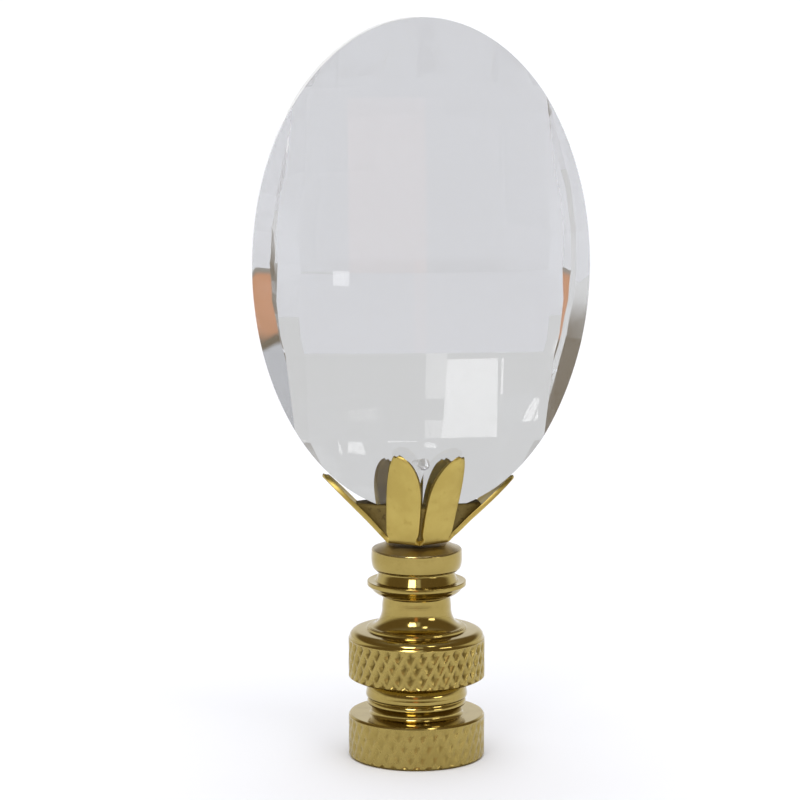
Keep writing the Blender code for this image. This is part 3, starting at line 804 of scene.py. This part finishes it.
cameraPlace = {
    "turn": -4.5,                # degrees round from straight in front
    "distance": 290.0 * mm,
    "height": 80.0 * mm,
    "aimHeight": 37.28 * mm,
    "sideways": -1.72 * mm,      # the finial stands a little right of the picture's middle
    "focal": 128.68,
    "near": 10.0 * mm,
}


def makeFloor(look):
    sides = look["floorSides"]
    angle = np.linspace(0.0, 2 * np.pi, sides, endpoint=False)
    points = np.stack([np.cos(angle), np.sin(angle), np.zeros(sides)], axis=1) * look["floorReach"]
    floor = newPiece("table_top", points, [range(sides)], 0)
    finish = Finish("pale_table")
    finish.set(baseColor=look["floor"], roughness=look["floorShine"])
    floor.data.materials.append(finish.owner)


def makeWorld(look):
    # A colour for each direction: the pale sweep, the dark room over it, the grey ceiling, then the patches.
    world = bpy.data.worlds.new("studio")
    bpy.context.scene.world = world
    finish = Finish("studio", world)
    side, away, up = finish.parts(finish.place("Generated"))
    room = (up - away * look["roomTilt"]).ramp(*look["roomFrom"])
    turn = side.maths("ARCTAN2", side, -1.0 * away)
    colour = room.blend(look["pale"], up.ramp(*look["ceilingFrom"]).blend(look["dark"], look["ceilingGrey"]))
    for patch in look["patches"]:
        left, right = patch["turns"]
        low, high = patch["ups"]
        edge = look["patchEdge"]
        inside = turn.ramp(left, left + edge) * (1.0 - turn.ramp(right - edge, right))
        inside = inside * up.ramp(low, low + edge) * (1.0 - up.ramp(high - edge, high))
        colour = inside.blend(colour, patch["colour"])
    finish.set(color=colour)


def makeWindows(lights, pieces, away):
    # The brassOnly light leaves the crystal out: its reflection there would hide what the facets show.
    receivers = bpy.data.collections.new("lit by the main window")
    for number, light in enumerate(lights):
        lamp = bpy.data.lights.new(f"window_{number}", "AREA")
        lamp.shape = "RECTANGLE"
        lamp.size = 2 * away * math.tan(math.radians(light["wide"] / 2))
        lamp.size_y = 2 * away * math.tan(math.radians(light["high"] / 2))
        lamp.energy = light["glow"] * lamp.size * lamp.size_y * math.pi
        holder = bpy.data.objects.new(lamp.name, lamp)
        bpy.context.scene.collection.objects.link(holder)
        turn, rise = math.radians(light["turn"]), math.radians(light["rise"])
        towards = Vector((math.sin(turn) * math.cos(rise), -math.cos(turn) * math.cos(rise), math.sin(rise)))
        holder.location = towards * away
        holder.rotation_euler = towards.to_track_quat("Z", "Y").to_euler()
        holder.visible_camera = False
        if light["brassOnly"]:
            for piece in pieces:
                receivers.objects.link(piece)
            holder.light_linking.receiver_collection = receivers


def makeOverhead(look):
    # A wide soft light from straight above that keeps the table as pale as the backdrop. Glossy and clear
    # pieces don't show it.
    lamp = bpy.data.lights.new("overhead", "SUN")
    lamp.energy = look["overhead"]
    lamp.angle = math.radians(look["overheadSpread"])
    lamp.color = look["overheadColour"]
    holder = bpy.data.objects.new("overhead", lamp)
    bpy.context.scene.collection.objects.link(holder)
    holder.visible_glossy = False
    holder.visible_transmission = False


def makeCamera(place):
    camera = bpy.data.objects.new("camera", bpy.data.cameras.new("camera"))
    bpy.context.scene.collection.objects.link(camera)
    camera.data.lens = place["focal"]
    camera.data.clip_start = place["near"]
    around = Matrix.Rotation(math.radians(place["turn"]), 4, "Z")
    camera.location = around @ Vector((place["sideways"], -place["distance"], place["height"]))
    aim = around @ Vector((place["sideways"], 0.0, place["aimHeight"]))
    camera.rotation_euler = (aim - camera.location).to_track_quat("-Z", "Y").to_euler()
    bpy.context.scene.camera = camera


makeCamera(cameraPlace)
makeWorld(stageLook)
makeOverhead(stageLook)
makeFloor(stageLook)
scene = bpy.context.scene
scene.view_settings.view_transform = "Standard"
scene.cycles.max_bounces = stageLook["bounces"]
scene.cycles.glossy_bounces = stageLook["bounces"]
scene.cycles.transmission_bounces = stageLook["bounces"]
print("stage, lights and camera set")

base = makeBase(baseSizes)
base.data.materials.append(brassFinish(brassLook))
print("base turned and knurled:", len(base.data.polygons), "faces")

cup = makeCup(cupSizes, petalPoses)
cup.data.materials.append(sheetFinish(sheetLook))
print("petal cup bent")

cement = makeCement(cementSizes, cupSizes, petalPoses)
cement.data.materials.append(cementFinish(cementLook))
print("cement filled in")

crystal = makeCrystal(crystalSizes)
crystal.data.materials.clear()
crystal.data.materials.append(crystalFinish(crystalLook))
print("crystal cut:", len(crystal.data.polygons), "faces")

makeWindows(windows, [base, cup, cement], stageLook["windowsAway"])
print("windows lit")
